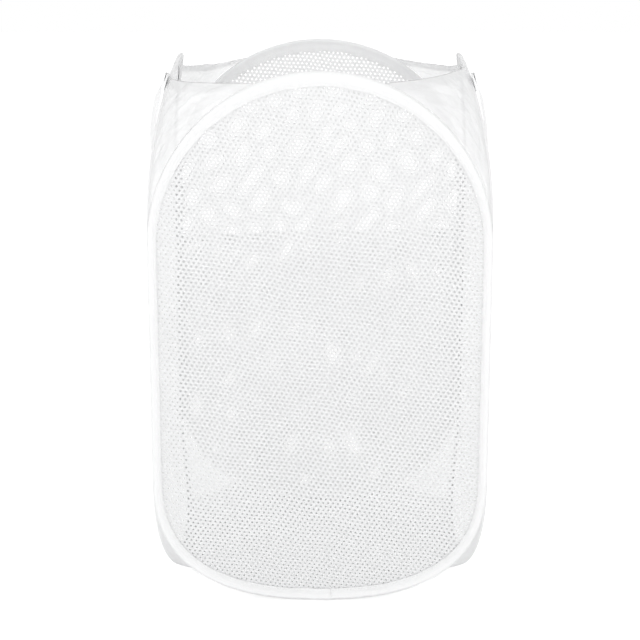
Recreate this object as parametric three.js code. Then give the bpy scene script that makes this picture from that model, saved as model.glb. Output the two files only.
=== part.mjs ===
// Pop-up laundry hamper: four bowed sprung hoops, each bound in folded tape round a mesh panel, stand in
// a square on a cloth base, the side ones tucked in between the front and back ones. Thin cloth gussets
// close the corners between the hoops, a mesh pocket is sewn on the back panel, and a webbing handle
// hangs from the top of each side panel.
// Millimetres, +Z up, origin in the middle of the base's underside, front panel towards -Y.

import * as THREE from 'three';
import * as BufferGeometryUtils from 'three/addons/utils/BufferGeometryUtils.js';

// Overall size of the open hamper, over the outer faces of its front and back panels, and how far the
// side panels stand in from the corners of that square.
const overallDepth = 360;
const overallHeight = 570;
const sideTuck = 4.3;

// Gap left between pieces that are sewn together or lie on each other.
const sewGap = 0.3;

// Folded binding tape: a bead round the hoop at the outer edge, then two lips that hold the mesh. Along
// the straight sides the tape is rolled round the hoop, so its lips reach only a share of their width.
const beadThickness = 5;
const beadWidth = 5.4;
const bindingWidth = 15;
const sideLipShare = 0.4;
const lipThickness = 0.6;
const tapeThickness = 0.8;
const bindingSeam = 0.8;

// Outline of a hoop: half circle above, straight sides, flatter superellipse below.
const bottomArcHeight = 146;
const bottomArcPower = 2.4;
const topArcSteps = 20;
const bottomArcSteps = 18;

// How far the ends of a hoop lean into the hamper, and how sharply the lean begins.
const topLean = 22.5;
const bottomLean = 23;
const leanPower = 2.5;

// Flat spring steel hoop and the sleeve that joins its ends.
const springWidth = 1.5;
const springThickness = 0.7;
const springEndGap = 1;
const ferruleLength = 24;
const ferruleWall = 0.25;
const ferruleClearance = 0.25;

// Mesh panels: a plain border goes into the binding, and the gaps between the strands are hexagons.
const meshThickness = 0.7;
const meshBorder = 17;
const meshPitch = 44;
const strandWidth = 9;

// Cloth of the corners and the base.
const clothThickness = 0.8;
const upperFullnessShare = 0.5;
const lowerFullnessShare = -0.3;
const gussetColumns = 6;
const upperHemShare = 0.35;
const baseCornerShare = 1 / 6;
const baseRingShares = [0.62, 0.76, 0.88, 1];

// Mesh pocket on the back panel.
const pocketHeight = 334;
const pocketPuff = 3;
const pocketBulge = 12;
const pocketBorder = 11;
const pocketMeshPitch = 46;
const pocketEdgeSteps = 10;
const hemHeight = 9;
const hemTapeThickness = 0.4;
const hemClearance = 0.2;

// Webbing handles on the side panels.
const webbingWidth = 20;
const webbingThickness = 1.2;
const handleSpread = 160;
const handleDrop = 108;
const handleStandOff = 1.8;
const tabRise = 4;
const tabUprightShare = 0.25;
const tabBendShare = 0.63;
const tabTurnShare = 0.5;
const handleLegShares = [[1, 0.008], [1, 0.1], [0.97, 0.3], [0.86, 0.6], [0.58, 0.87]];
const handleTwist = Math.PI / 12;
const twistStartShare = 0.25;
const twistEndShare = 0.95;
const handleSteps = 24;

// Sizes worked out from the driving dimensions.
const innerHalf = overallDepth / 2 - beadThickness;
const hoopHalf = innerHalf - sewGap;
const midBead = beadThickness / 2;
const hoopFoot = clothThickness + 2 * sewGap;
const topArcHeight = hoopHalf;
const topArcBase = overallHeight - topArcHeight;
const bottomArcTop = hoopFoot + bottomArcHeight;
const lipGap = meshThickness + 2 * sewGap;
const meshInset = beadWidth + sewGap;

const looks = {
  binding: { color: 0xfafafa, roughness: 0.85, metalness: 0 },
  mesh: { color: 0xf4f5f6, roughness: 0.8, metalness: 0 },
  cloth: { color: 0xf1f2f3, roughness: 0.7, metalness: 0 },
  webbing: { color: 0xf8f8f8, roughness: 0.9, metalness: 0 },
  steel: { color: 0xb9bcc0, roughness: 0.35, metalness: 1 },
};

const hamper = new THREE.Group();

const rightAngle = Math.PI / 2;
const inPlace = { turn: 0, shift: 0 };

function addPiece(name, geometry, look, { turn, shift } = inPlace) {
  const mesh = new THREE.Mesh(geometry, new THREE.MeshStandardMaterial(looks[look]));
  mesh.name = name;
  mesh.rotation.z = turn;
  mesh.position.x = shift;
  hamper.add(mesh);
}

// How far a panel has leaned inwards at height z.
function lean(z) {
  if (z > topArcBase) return topLean * ((z - topArcBase) / topArcHeight) ** leanPower;
  if (z < bottomArcTop) return bottomLean * ((bottomArcTop - z) / bottomArcHeight) ** leanPower;
  return 0;
}

// A place on the front panel: s across it, z up, t outwards from its inner face.
function onPanel(s, z, t) {
  return new THREE.Vector3(s, lean(z) - innerHalf - t, z);
}

// One step of a hoop's outer edge, with its inward direction in the panel.
function outlineStep(s, z, gradientS, gradientZ) {
  const length = Math.hypot(gradientS, gradientZ);
  return { s, z, inS: -gradientS / length, inZ: -gradientZ / length };
}

function bottomStep(angle) {
  const acrossShare = Math.cos(angle) ** (2 / bottomArcPower);
  const downShare = Math.sin(angle) ** (2 / bottomArcPower);
  const gradientS = acrossShare ** (bottomArcPower - 1) / hoopHalf;
  const gradientZ = -(downShare ** (bottomArcPower - 1)) / bottomArcHeight;
  const z = bottomArcTop - bottomArcHeight * downShare;
  return outlineStep(hoopHalf * acrossShare, z, gradientS, gradientZ);
}

function topStep(angle) {
  const s = hoopHalf * Math.cos(angle);
  const z = topArcBase + topArcHeight * Math.sin(angle);
  return outlineStep(s, z, Math.cos(angle) / hoopHalf, Math.sin(angle) / topArcHeight);
}

const mirrored = (step) => ({ s: -step.s, z: step.z, inS: -step.inS, inZ: step.inZ });
const bottomMiddle = outlineStep(0, hoopFoot, 0, -1);

// Steps of the right half of the bottom arc without its middle, and of the whole top arc.
const bottomHalf = [];
for (let i = 1; i <= bottomArcSteps / 2; i += 1) {
  bottomHalf.push(bottomStep(rightAngle * (1 - (2 * i) / bottomArcSteps)));
}
const topArc = [];
for (let i = 0; i <= topArcSteps; i += 1) topArc.push(topStep((Math.PI * i) / topArcSteps));

// The whole outline, counter-clockwise from the bottom middle.
const outline = [bottomMiddle, ...bottomHalf, ...topArc, ...bottomHalf.map(mirrored).reverse()];

// The outline cut open by a gap at the bottom middle.
function openOutline(gap) {
  const first = { ...bottomMiddle, s: gap / 2 };
  return [first, ...outline.slice(1), mirrored(first)];
}

const insetPoint = (step, inset) => new THREE.Vector2(step.s + step.inS * inset, step.z + step.inZ * inset);

function outlineShape(points) {
  return new THREE.Shape(points.map(([x, y]) => new THREE.Vector2(x, y)));
}

// Gives a geometry one closed body: shared corners are merged and its faces are turned outwards.
function closedBody(geometry) {
  geometry.deleteAttribute('normal');
  geometry.deleteAttribute('uv');
  const body = BufferGeometryUtils.mergeVertices(geometry);
  const corners = body.attributes.position;
  const index = Array.from(body.index.array);
  const [a, b, c] = [new THREE.Vector3(), new THREE.Vector3(), new THREE.Vector3()];
  let volume = 0;
  for (let i = 0; i < index.length; i += 3) {
    a.fromBufferAttribute(corners, index[i]);
    b.fromBufferAttribute(corners, index[i + 1]);
    c.fromBufferAttribute(corners, index[i + 2]);
    volume += a.dot(b.cross(c));
  }
  if (volume < 0) index.reverse();
  body.setIndex(index);
  body.computeVertexNormals();
  return body;
}

// Bends a straight extrusion of a section so that its steps follow a row of places.
function sweep(section, steps, place) {
  const count = steps.length - 1;
  const geometry = new THREE.ExtrudeGeometry(section, { depth: count, steps: count, bevelEnabled: false });
  const corners = geometry.attributes.position;
  for (let i = 0; i < corners.count; i += 1) {
    const corner = place(steps[Math.round(corners.getZ(i))], corners.getX(i), corners.getY(i));
    corners.setXYZ(i, corner.x, corner.y, corner.z);
  }
  return closedBody(geometry);
}

const alongHoop = (step, inset, t) => {
  const point = insetPoint(step, inset);
  return onPanel(point.x, point.y, t);
};

// An inset beyond the bead, drawn in where the tape is rolled along the straight sides.
function rolledInset(step, inset) {
  const share = sideLipShare + (1 - sideLipShare) * step.inZ ** 2;
  return Math.min(inset, beadWidth) + Math.max(0, inset - beadWidth) * share;
}

// Makes a sheet solid: its flat triangles are placed twice, low and high, and walls close its free edges.
function thicken(points, triangles, place) {
  const low = points.map((point) => place(point, 0));
  const high = points.map((point) => place(point, 1));
  const positions = [...low, ...high].flatMap((corner) => [corner.x, corner.y, corner.z]);
  const index = [];
  const edges = new Map();
  for (const [a, b, c] of triangles) {
    index.push(a, c, b, a + points.length, b + points.length, c + points.length);
    for (const [from, to] of [[a, b], [b, c], [c, a]]) edges.set(`${from} ${to}`, [from, to]);
  }
  for (const [from, to] of edges.values()) {
    if (edges.has(`${to} ${from}`)) continue;
    index.push(from, to, to + points.length, from, to + points.length, from + points.length);
  }
  const geometry = new THREE.BufferGeometry();
  geometry.setAttribute('position', new THREE.Float32BufferAttribute(positions, 3));
  geometry.setIndex(index);
  return closedBody(geometry);
}

// Triangles of a grid whose points run row by row.
function gridTriangles(rows, columns) {
  const triangles = [];
  for (let row = 0; row < rows - 1; row += 1) {
    for (let column = 0; column < columns - 1; column += 1) {
      const corner = row * columns + column;
      const above = corner + columns;
      triangles.push([corner, corner + 1, above + 1], [corner, above + 1, above]);
    }
  }
  return triangles;
}

function isInside(point, loop) {
  let inside = false;
  for (let i = 0, j = loop.length - 1; i < loop.length; j = i, i += 1) {
    const spans = loop[i].y > point.y !== loop[j].y > point.y;
    const rise = (point.y - loop[i].y) / (loop[j].y - loop[i].y);
    if (spans && point.x < loop[i].x + rise * (loop[j].x - loop[i].x)) inside = !inside;
  }
  return inside;
}

// Hexagonal gaps in staggered rows that fit inside a loop.
function hexagonGaps(loop, pitch, middleZ) {
  const rowPitch = pitch * Math.cos(Math.PI / 6);
  const radius = (pitch - strandWidth) / 2 / Math.cos(Math.PI / 6);
  const rows = Math.ceil(overallHeight / rowPitch);
  const columns = Math.ceil(overallDepth / pitch);
  const gaps = [];
  for (let row = -rows; row <= rows; row += 1) {
    for (let column = -columns; column <= columns; column += 1) {
      const middle = new THREE.Vector2((column + (row % 2 ? 0.5 : 0)) * pitch, middleZ + row * rowPitch);
      const corners = [];
      for (let side = 0; side < 6; side += 1) {
        const angle = (Math.PI * (2 * side + 1)) / 6;
        corners.push(new THREE.Vector2(Math.cos(angle), Math.sin(angle)).multiplyScalar(radius).add(middle));
      }
      if (corners.every((corner) => isInside(corner, loop))) gaps.push(corners.reverse());
    }
  }
  return gaps;
}

// A net: a plain border between two loops of equal length, then a middle with hexagonal gaps.
function netSheet(outerLoop, innerLoop, gaps, closed) {
  const count = outerLoop.length;
  const points = [...outerLoop, ...innerLoop, ...gaps.flat()];
  const triangles = [];
  for (let i = 0; i < (closed ? count : count - 1); i += 1) {
    const next = (i + 1) % count;
    triangles.push([i, next, count + next], [i, count + next, count + i]);
  }
  const middle = THREE.ShapeUtils.triangulateShape(innerLoop, gaps);
  return { points, triangles: [...triangles, ...middle.map((face) => face.map((corner) => corner + count))] };
}

// Binding: tape folded round the hoop, its bead outside and its two lips inwards round the mesh.
const lipLow = midBead - lipGap / 2;
const lipHigh = midBead + lipGap / 2;
const beadPeak = beadWidth / 2;
const lipRoot = beadWidth - sewGap;
const cavityPeak = beadPeak + sewGap;
const bindingSection = outlineShape([
  [bindingWidth, lipHigh + lipThickness],
  [beadWidth, lipHigh + lipThickness],
  [beadPeak, beadThickness],
  [0, lipHigh + lipThickness],
  [0, lipLow - lipThickness],
  [beadPeak, 0],
  [beadWidth, lipLow - lipThickness],
  [bindingWidth, lipLow - lipThickness],
  [bindingWidth, lipLow],
  [lipRoot, lipLow],
  [cavityPeak, tapeThickness],
  [tapeThickness, lipLow - lipThickness],
  [tapeThickness, lipHigh + lipThickness],
  [cavityPeak, beadThickness - tapeThickness],
  [lipRoot, lipHigh],
  [bindingWidth, lipHigh],
]);
const bindingBody = sweep(bindingSection, openOutline(bindingSeam), (step, inset, t) =>
  alongHoop(step, rolledInset(step, inset), t));

// Spring hoop: a flat steel strip in the bead, its ends meeting at the bottom middle.
const springInset = (tapeThickness + lipRoot) / 2 - sewGap;
const springSection = outlineShape([
  [springInset - springThickness / 2, midBead - springWidth / 2],
  [springInset + springThickness / 2, midBead - springWidth / 2],
  [springInset + springThickness / 2, midBead + springWidth / 2],
  [springInset - springThickness / 2, midBead + springWidth / 2],
]);
const springBody = sweep(springSection, openOutline(springEndGap), alongHoop);

// Ferrule: a thin steel sleeve over the two ends of the strip.
function rectanglePoints(halfInset, halfT) {
  return [
    [springInset - halfInset, midBead - halfT],
    [springInset + halfInset, midBead - halfT],
    [springInset + halfInset, midBead + halfT],
    [springInset - halfInset, midBead + halfT],
  ];
}
const boreInset = springThickness / 2 + ferruleClearance;
const boreT = springWidth / 2 + ferruleClearance;
const ferruleSection = outlineShape(rectanglePoints(boreInset + ferruleWall, boreT + ferruleWall));
ferruleSection.holes.push(new THREE.Path(outlineShape(rectanglePoints(boreInset, boreT)).getPoints()));
const ferruleShare = ferruleLength / 2 / outline[1].s;
const ferruleEnd = { ...bottomMiddle };
for (const key of Object.keys(ferruleEnd)) {
  ferruleEnd[key] = THREE.MathUtils.lerp(bottomMiddle[key], outline[1][key], ferruleShare);
}
const ferruleBody = sweep(ferruleSection, [mirrored(ferruleEnd), bottomMiddle, ferruleEnd], alongHoop);

// Mesh panel, held between the lips of its binding.
const meshEdge = outline.map((step) => insetPoint(step, meshInset));
const meshInner = outline.map((step) => insetPoint(step, rolledInset(step, meshBorder)));
const meshLimit = outline.map((step) => insetPoint(step, rolledInset(step, meshBorder) + strandWidth / 2));
const meshMiddle = (hoopFoot + overallHeight) / 2;
const meshNet = netSheet(meshEdge, meshInner, hexagonGaps(meshLimit, meshPitch, meshMiddle), true);
const meshBody = thicken(meshNet.points, meshNet.triangles, (point, side) =>
  onPanel(point.x, point.y, midBead + (side - 0.5) * meshThickness));

// The four panels are one design, turned a quarter turn from each to the next.
const places = {
  front: { turn: 0, shift: 0 },
  right: { turn: rightAngle, shift: -sideTuck },
  back: { turn: 2 * rightAngle, shift: 0 },
  left: { turn: 3 * rightAngle, shift: sideTuck },
};
for (const [side, place] of Object.entries(places)) {
  addPiece(`${side}_binding`, bindingBody, 'binding', place);
  addPiece(`${side}_spring_hoop`, springBody, 'steel', place);
  addPiece(`${side}_hoop_ferrule`, ferruleBody, 'steel', place);
  addPiece(`${side}_mesh_panel`, meshBody, 'mesh', place);
}

// Corner cloth between the front and right hoops: each row spans from one hoop's outer edge to the
// other's, puffed towards the corner by a fullness, or drawn in where that is below zero.
function cornerRow(step, gap, fullness) {
  const edge = insetPoint(step, -gap);
  const start = onPanel(edge.x, edge.y, midBead);
  const end = new THREE.Vector3(-start.y - sideTuck, -start.x, start.z);
  const corner = new THREE.Vector3(innerHalf, -innerHalf, start.z);
  const middle = start.clone().lerp(end, 0.5);
  const pull = middle.clone().addScaledVector(corner.sub(middle), fullness);
  return new THREE.QuadraticBezierCurve3(start, pull, end).getPoints(gussetColumns);
}
const cornerOutwards = new THREE.Vector3(1, -1, 0).normalize().multiplyScalar(clothThickness);
const onCorner = (point, side) => point.clone().addScaledVector(cornerOutwards, side);

function cornerGusset(steps, fullness) {
  const rows = steps.map((step) => cornerRow(step, sewGap, fullness));
  return thicken(rows.flat(), gridTriangles(rows.length, gussetColumns + 1), onCorner);
}

// The upper gussets reach from the top of the straight sides to a level hem near the hoops' tops, and the
// lower ones from the straight sides down to the base.
const upperHemStep = Math.round(topArcSteps * upperHemShare);
const baseRow = Math.round(bottomArcSteps * baseCornerShare) - 1;
const upperGusset = cornerGusset(topArc.slice(1, upperHemStep + 1), upperFullnessShare);
const lowerGusset = cornerGusset(bottomHalf.slice(baseRow, -1).reverse(), lowerFullnessShare);
const cornerFlips = { front_right: [1, 1], back_right: [1, -1], back_left: [-1, -1], front_left: [-1, 1] };
for (const [corner, [flipX, flipY]] of Object.entries(cornerFlips)) {
  addPiece(`${corner}_upper_gusset`, closedBody(upperGusset.clone().scale(flipX, flipY, 1)), 'cloth');
  addPiece(`${corner}_lower_gusset`, closedBody(lowerGusset.clone().scale(flipX, flipY, 1)), 'cloth');
}

// Base cloth: flat in the middle, its edge sewn under the hoops and along the lower gussets.
const underHoop = bottomHalf.slice(0, baseRow + 1);
const frontEdge = [...underHoop.map(mirrored).reverse(), bottomMiddle, ...underHoop].map((step) => {
  const edge = insetPoint(step, -2 * sewGap);
  return onPanel(edge.x, edge.y, midBead);
});
const cornerEdge = cornerRow(underHoop[underHoop.length - 1], sewGap, lowerFullnessShare)
  .slice(1, -1)
  .map((point) => point.setZ(point.z - sewGap));
const flippedEdge = (flipX, flipY) => cornerEdge.map(({ x, y, z }) => new THREE.Vector3(flipX * x, flipY * y, z));
const edgeAfter = {
  front: cornerEdge,
  right: flippedEdge(1, -1).reverse(),
  back: flippedEdge(-1, -1),
  left: flippedEdge(-1, 1).reverse(),
};
const upwards = new THREE.Vector3(0, 0, 1);
const baseEdge = [];
for (const [side, { turn, shift }] of Object.entries(places)) {
  for (const point of frontEdge) {
    const placed = point.clone().applyAxisAngle(upwards, turn);
    baseEdge.push(placed.setX(placed.x + shift));
  }
  baseEdge.push(...edgeAfter[side]);
}
const basePoints = [new THREE.Vector3(0, 0, clothThickness)];
const baseTriangles = [];
const [flatShare] = baseRingShares;
baseRingShares.forEach((ringShare, ring) => {
  const riseShare = ((ringShare - flatShare) / (1 - flatShare)) ** 2;
  baseEdge.forEach((point, i) => {
    const height = clothThickness + (point.z - clothThickness) * riseShare;
    basePoints.push(new THREE.Vector3(point.x * ringShare, point.y * ringShare, height));
    const here = 1 + ring * baseEdge.length + i;
    const next = 1 + ring * baseEdge.length + ((i + 1) % baseEdge.length);
    if (ring === 0) {
      baseTriangles.push([0, here, next]);
    } else {
      const inner = here - baseEdge.length;
      baseTriangles.push([inner, here, next], [inner, next, next - baseEdge.length]);
    }
  });
});
const baseBody = thicken(basePoints, baseTriangles, (point, side) =>
  new THREE.Vector3(point.x, point.y, point.z - side * clothThickness));
addPiece('base_cloth', baseBody, 'cloth');

// Pocket on the back panel: a second net over the lower part, sewn to the binding's outer lip and
// bulging a little towards its open top.
const lipFace = lipHigh + lipThickness;
const pocketSeat = lipFace + sewGap + hemTapeThickness + hemClearance;
const pocketInset = beadWidth + sewGap + tapeThickness;
const pocketLimit = bindingWidth + pocketBorder;
const pocketHalf = hoopHalf - pocketInset;
function pocketT(s, z) {
  if (Math.abs(s) >= pocketHalf) return pocketSeat;
  const acrossShare = Math.max(0, 1 - (s / (hoopHalf - bindingWidth)) ** 2);
  const upShare = Math.max(0, (z - bottomArcTop) / (pocketHeight - bottomArcTop));
  return pocketSeat + pocketPuff + pocketBulge * acrossShare * upShare ** 2;
}
const hemRoot = pocketHeight - hemHeight - sewGap;
const pocketSide = { s: hoopHalf, z: hemRoot, inS: -1, inZ: 0 };
const pocketSteps = [mirrored(pocketSide), ...bottomHalf.map(mirrored).reverse(), bottomMiddle, ...bottomHalf,
  pocketSide];
const pocketLoop = (inset) => pocketSteps.map((step) => insetPoint(step, inset));
const pocketOuter = pocketLoop(pocketInset);
const pocketInner = pocketLoop(pocketLimit);
const underHem = [];
for (let i = 1; i < pocketEdgeSteps; i += 1) {
  const across = (hoopHalf - pocketLimit) * (1 - (2 * i) / pocketEdgeSteps);
  underHem.push(new THREE.Vector2(across, hemRoot));
}
const pocketMiddle = [...pocketInner, ...underHem];
const gapLimit = pocketLoop(pocketLimit + strandWidth / 2);
gapLimit.forEach((point) => point.setY(Math.min(point.y, hemRoot - strandWidth / 2)));
const pocketGaps = hexagonGaps(gapLimit, pocketMeshPitch, pocketHeight / 2);
const hemPlaces = [pocketHalf, ...underHem.map((point) => point.x), -pocketHalf];
hemPlaces.splice(1, 0, hoopHalf - pocketLimit);
hemPlaces.splice(-1, 0, pocketLimit - hoopHalf);
const pocketEdge = hemPlaces.map((across) => new THREE.Vector2(across, pocketHeight));
const pocketPoints = [...pocketOuter, ...pocketMiddle, ...pocketGaps.flat(), ...pocketEdge];
const pocketTriangles = [];
for (let i = 0; i < pocketOuter.length - 1; i += 1) {
  const inner = pocketOuter.length + i;
  pocketTriangles.push([i, i + 1, inner + 1], [i, inner + 1, inner]);
}
for (const face of THREE.ShapeUtils.triangulateShape(pocketMiddle, pocketGaps)) {
  pocketTriangles.push(face.map((corner) => corner + pocketOuter.length));
}
const lastInner = 2 * pocketOuter.length - 1;
const hemRow = [pocketOuter.length - 1, lastInner, ...underHem.map((point, i) => lastInner + 1 + i),
  pocketOuter.length, 0];
const firstEdge = pocketPoints.length - pocketEdge.length;
for (let i = 0; i < hemRow.length - 1; i += 1) {
  const above = firstEdge + i;
  pocketTriangles.push([hemRow[i], above, above + 1], [hemRow[i], above + 1, hemRow[i + 1]]);
}
const pocketBody = thicken(pocketPoints, pocketTriangles, (point, side) => {
  const t = pocketOuter.includes(point) ? pocketSeat : pocketT(point.x, point.y);
  return onPanel(point.x, point.y, t + side * meshThickness);
});
addPiece('back_pocket_mesh', pocketBody, 'mesh', places.back);

// Pocket hem: tape folded over the pocket's top edge.
const hemInner = hemTapeThickness + hemClearance;
const hemOuter = meshThickness + hemInner;
const hemSection = outlineShape([
  [-hemHeight, -hemInner],
  [sewGap + hemTapeThickness, -hemInner],
  [sewGap + hemTapeThickness, hemOuter],
  [-hemHeight, hemOuter],
  [-hemHeight, hemOuter - hemTapeThickness],
  [sewGap, hemOuter - hemTapeThickness],
  [sewGap, hemTapeThickness - hemInner],
  [-hemHeight, hemTapeThickness - hemInner],
]);
const hemBody = sweep(hemSection, hemPlaces, (across, up, t) =>
  onPanel(across, pocketHeight + up, pocketT(across, pocketHeight + up) + t));
addPiece('back_pocket_hem', hemBody, 'binding', places.back);

// Handle tabs: the webbing's ends, sewn on the binding and turned outwards above the hoop.
const tabS = handleSpread / 2;
const tabTopZ = topArcBase + Math.sqrt(topArcHeight ** 2 - (tabS - webbingWidth / 2) ** 2);
const tabT = beadThickness + sewGap;
const hingeZ = tabTopZ + tabRise;
const hingeT = tabT + handleStandOff;
const tabPath = [
  [tabTopZ - bindingWidth, tabT],
  [tabTopZ - bindingWidth / 2, tabT],
  [tabTopZ, tabT],
  [tabTopZ + tabRise * tabUprightShare, tabT],
  [tabTopZ + tabRise * tabBendShare, tabT + handleStandOff * tabTurnShare],
];
const webbingSection = outlineShape([
  [-webbingWidth / 2, -webbingThickness / 2],
  [webbingWidth / 2, -webbingThickness / 2],
  [webbingWidth / 2, webbingThickness / 2],
  [-webbingWidth / 2, webbingThickness / 2],
]);
const tabAt = (middle) => sweep(webbingSection, tabPath, ([z, t], across, depth) =>
  onPanel(middle + across, z, t + webbingThickness / 2 + depth));

// Handle: one strap hanging as a loop against the panel, its middle turned a little outwards.
const handlePoint = ([acrossShare, dropShare]) =>
  new THREE.Vector3(tabS * acrossShare, hingeZ - handleDrop * dropShare, 0);
const handleLeg = handleLegShares.map(handlePoint);
const handleRoute = new THREE.CatmullRomCurve3([
  ...handleLeg,
  handlePoint([0, 1]),
  ...handleLeg.map((point) => new THREE.Vector3(-point.x, point.y, 0)).reverse(),
]);
const handleFrames = [];
for (let i = 0; i <= handleSteps; i += 1) {
  const share = i / handleSteps;
  const middleShare = 1 - Math.abs(2 * share - 1);
  const twist = handleTwist * THREE.MathUtils.smoothstep(middleShare, twistStartShare, twistEndShare);
  const along = handleRoute.getTangentAt(share);
  const across = new THREE.Vector2(-along.y, along.x);
  handleFrames.push({ point: handleRoute.getPointAt(share), across, twist });
}
const handleBody = sweep(webbingSection, handleFrames, ({ point, across, twist }, wide, thick) => {
  const flat = wide * Math.cos(twist) - thick * Math.sin(twist);
  const out = (wide + webbingWidth / 2) * Math.sin(twist) + thick * Math.cos(twist);
  return onPanel(point.x + across.x * flat, point.y + across.y * flat, hingeT + webbingThickness + out);
});
for (const side of ['left', 'right']) {
  addPiece(`${side}_handle_strap`, handleBody, 'webbing', places[side]);
  addPiece(`${side}_handle_tab_a`, tabAt(-tabS), 'webbing', places[side]);
  addPiece(`${side}_handle_tab_b`, tabAt(tabS), 'webbing', places[side]);
}

export default hamper;
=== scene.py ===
import math

import bpy
import numpy as np
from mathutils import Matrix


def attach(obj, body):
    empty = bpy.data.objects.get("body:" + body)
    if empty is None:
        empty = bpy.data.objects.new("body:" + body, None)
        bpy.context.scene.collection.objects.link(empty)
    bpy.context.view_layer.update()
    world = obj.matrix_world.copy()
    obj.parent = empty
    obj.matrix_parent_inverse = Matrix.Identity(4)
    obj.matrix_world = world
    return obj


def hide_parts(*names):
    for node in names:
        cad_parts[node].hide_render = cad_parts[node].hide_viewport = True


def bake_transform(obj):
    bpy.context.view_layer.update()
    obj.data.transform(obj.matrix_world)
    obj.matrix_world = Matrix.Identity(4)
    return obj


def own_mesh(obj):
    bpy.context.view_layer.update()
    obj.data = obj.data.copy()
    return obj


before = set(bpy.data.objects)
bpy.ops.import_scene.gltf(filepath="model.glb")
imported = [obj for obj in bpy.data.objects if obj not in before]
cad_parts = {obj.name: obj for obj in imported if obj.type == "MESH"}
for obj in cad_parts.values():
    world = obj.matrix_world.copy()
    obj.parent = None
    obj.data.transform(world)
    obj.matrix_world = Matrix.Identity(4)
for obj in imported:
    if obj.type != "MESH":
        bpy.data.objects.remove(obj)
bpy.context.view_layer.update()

# The view: a long lens 1.9 m in front of the hamper, a little above it and looking down, as in the
# photograph. Floor and room are white, and wide soft lamps light the white cloth evenly.
camera_data = bpy.data.cameras.new("camera")
camera_data.sensor_width = 36
camera_data.lens = 99.45
camera = bpy.data.objects.new("camera", camera_data)
camera.location = (0, -1.9214, 0.7816)
camera.rotation_euler = (math.radians(75.14), 0, 0)
bpy.context.scene.collection.objects.link(camera)
bpy.context.scene.camera = camera
bpy.context.scene.view_settings.view_transform = "Standard"


def add(tree, kind, settings=None, **sockets):
    """Adds a shader node: settings are its own properties, and each socket gets a value or a link."""
    made = tree.nodes.new(kind)
    for name, value in (settings or {}).items():
        setattr(made, name, value)
    for name, value in sockets.items():
        socket = made.inputs[int(name[1:])] if name[0] == "_" else made.inputs[name.replace("_", " ")]
        if isinstance(value, bpy.types.NodeSocket):
            tree.links.new(value, socket)
        else:
            socket.default_value = value
    return made


def math_node(tree, operation, first, second=0.0):
    """The result of one arithmetic shader node."""
    return add(tree, "ShaderNodeMath", {"operation": operation}, _0=first, _1=second).outputs[0]


def seen_white(tree, by_lens, by_gloss):
    """One strength for the rays of the lens and through glass, another for those of a gloss, else 0."""
    rays = add(tree, "ShaderNodeLightPath").outputs
    lens = math_node(tree, "MAXIMUM", rays["Is Camera Ray"], rays["Is Transmission Ray"])
    gloss = math_node(tree, "MULTIPLY", rays["Is Glossy Ray"], by_gloss)
    return math_node(tree, "MAXIMUM", math_node(tree, "MULTIPLY", lens, by_lens), gloss)


def make_mesh(name, points, quads, finish, uv=None):
    """Puts points, quads and a flat place for each point, all whole arrays, into a new smooth mesh."""
    points = np.asarray(points, np.float32).reshape(-1, 3)
    quads = np.asarray(quads, np.int32)
    mesh = bpy.data.meshes.new(name)
    mesh.vertices.add(len(points))
    mesh.vertices.foreach_set("co", points.ravel())
    mesh.loops.add(quads.size)
    mesh.polygons.add(len(quads))
    mesh.polygons.foreach_set("loop_start", np.arange(0, quads.size, quads.shape[1], dtype=np.int32))
    mesh.polygons.foreach_set("vertices", quads.ravel())
    mesh.polygons.foreach_set("use_smooth", np.ones(len(quads), bool))
    mesh.update(calc_edges=True)
    if uv is not None:
        layer = mesh.uv_layers.new(name="cloth")
        layer.data.foreach_set("uv", np.asarray(uv, np.float32).reshape(-1, 2)[quads.ravel()].ravel())
    mesh.materials.append(finish)
    piece = bpy.data.objects.new(name, mesh)
    bpy.context.scene.collection.objects.link(piece)
    return piece


floor_finish = bpy.data.materials.new("studio_floor")
floor_finish.use_nodes = True
floor_tree = floor_finish.node_tree
floor_tree.nodes.clear()
floor_glow = add(floor_tree, "ShaderNodeEmission", Strength=seen_white(floor_tree, 0.5, 0.15))
floor_matt = add(floor_tree, "ShaderNodeBsdfDiffuse", Color=(0.93, 0.93, 0.93, 1))
floor_sum = add(floor_tree, "ShaderNodeAddShader", _0=floor_matt.outputs[0], _1=floor_glow.outputs[0])
add(floor_tree, "ShaderNodeOutputMaterial", Surface=floor_sum.outputs[0])
floor_reach = 6
floor_z = -0.0004
floor_corners = np.array([[x * floor_reach, y * floor_reach, floor_z]
                          for x, y in ((-1, -1), (1, -1), (1, 1), (-1, 1))])
floor = make_mesh("studio_floor", floor_corners, [[0, 1, 2, 3]], floor_finish)

room = bpy.data.worlds.new("room")
room.use_nodes = True
room.node_tree.nodes.clear()
room_seen = add(room.node_tree, "ShaderNodeBackground", Strength=1.0, Color=(1, 1, 1, 1))
room_light = add(room.node_tree, "ShaderNodeBackground", Strength=0.82, Color=(1, 1, 1, 1))
room_mix = add(room.node_tree, "ShaderNodeMixShader", Fac=seen_white(room.node_tree, 1.0, 1.0),
               _1=room_light.outputs[0], _2=room_seen.outputs[0])
add(room.node_tree, "ShaderNodeOutputWorld", Surface=room_mix.outputs[0])
bpy.context.scene.world = room

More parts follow.
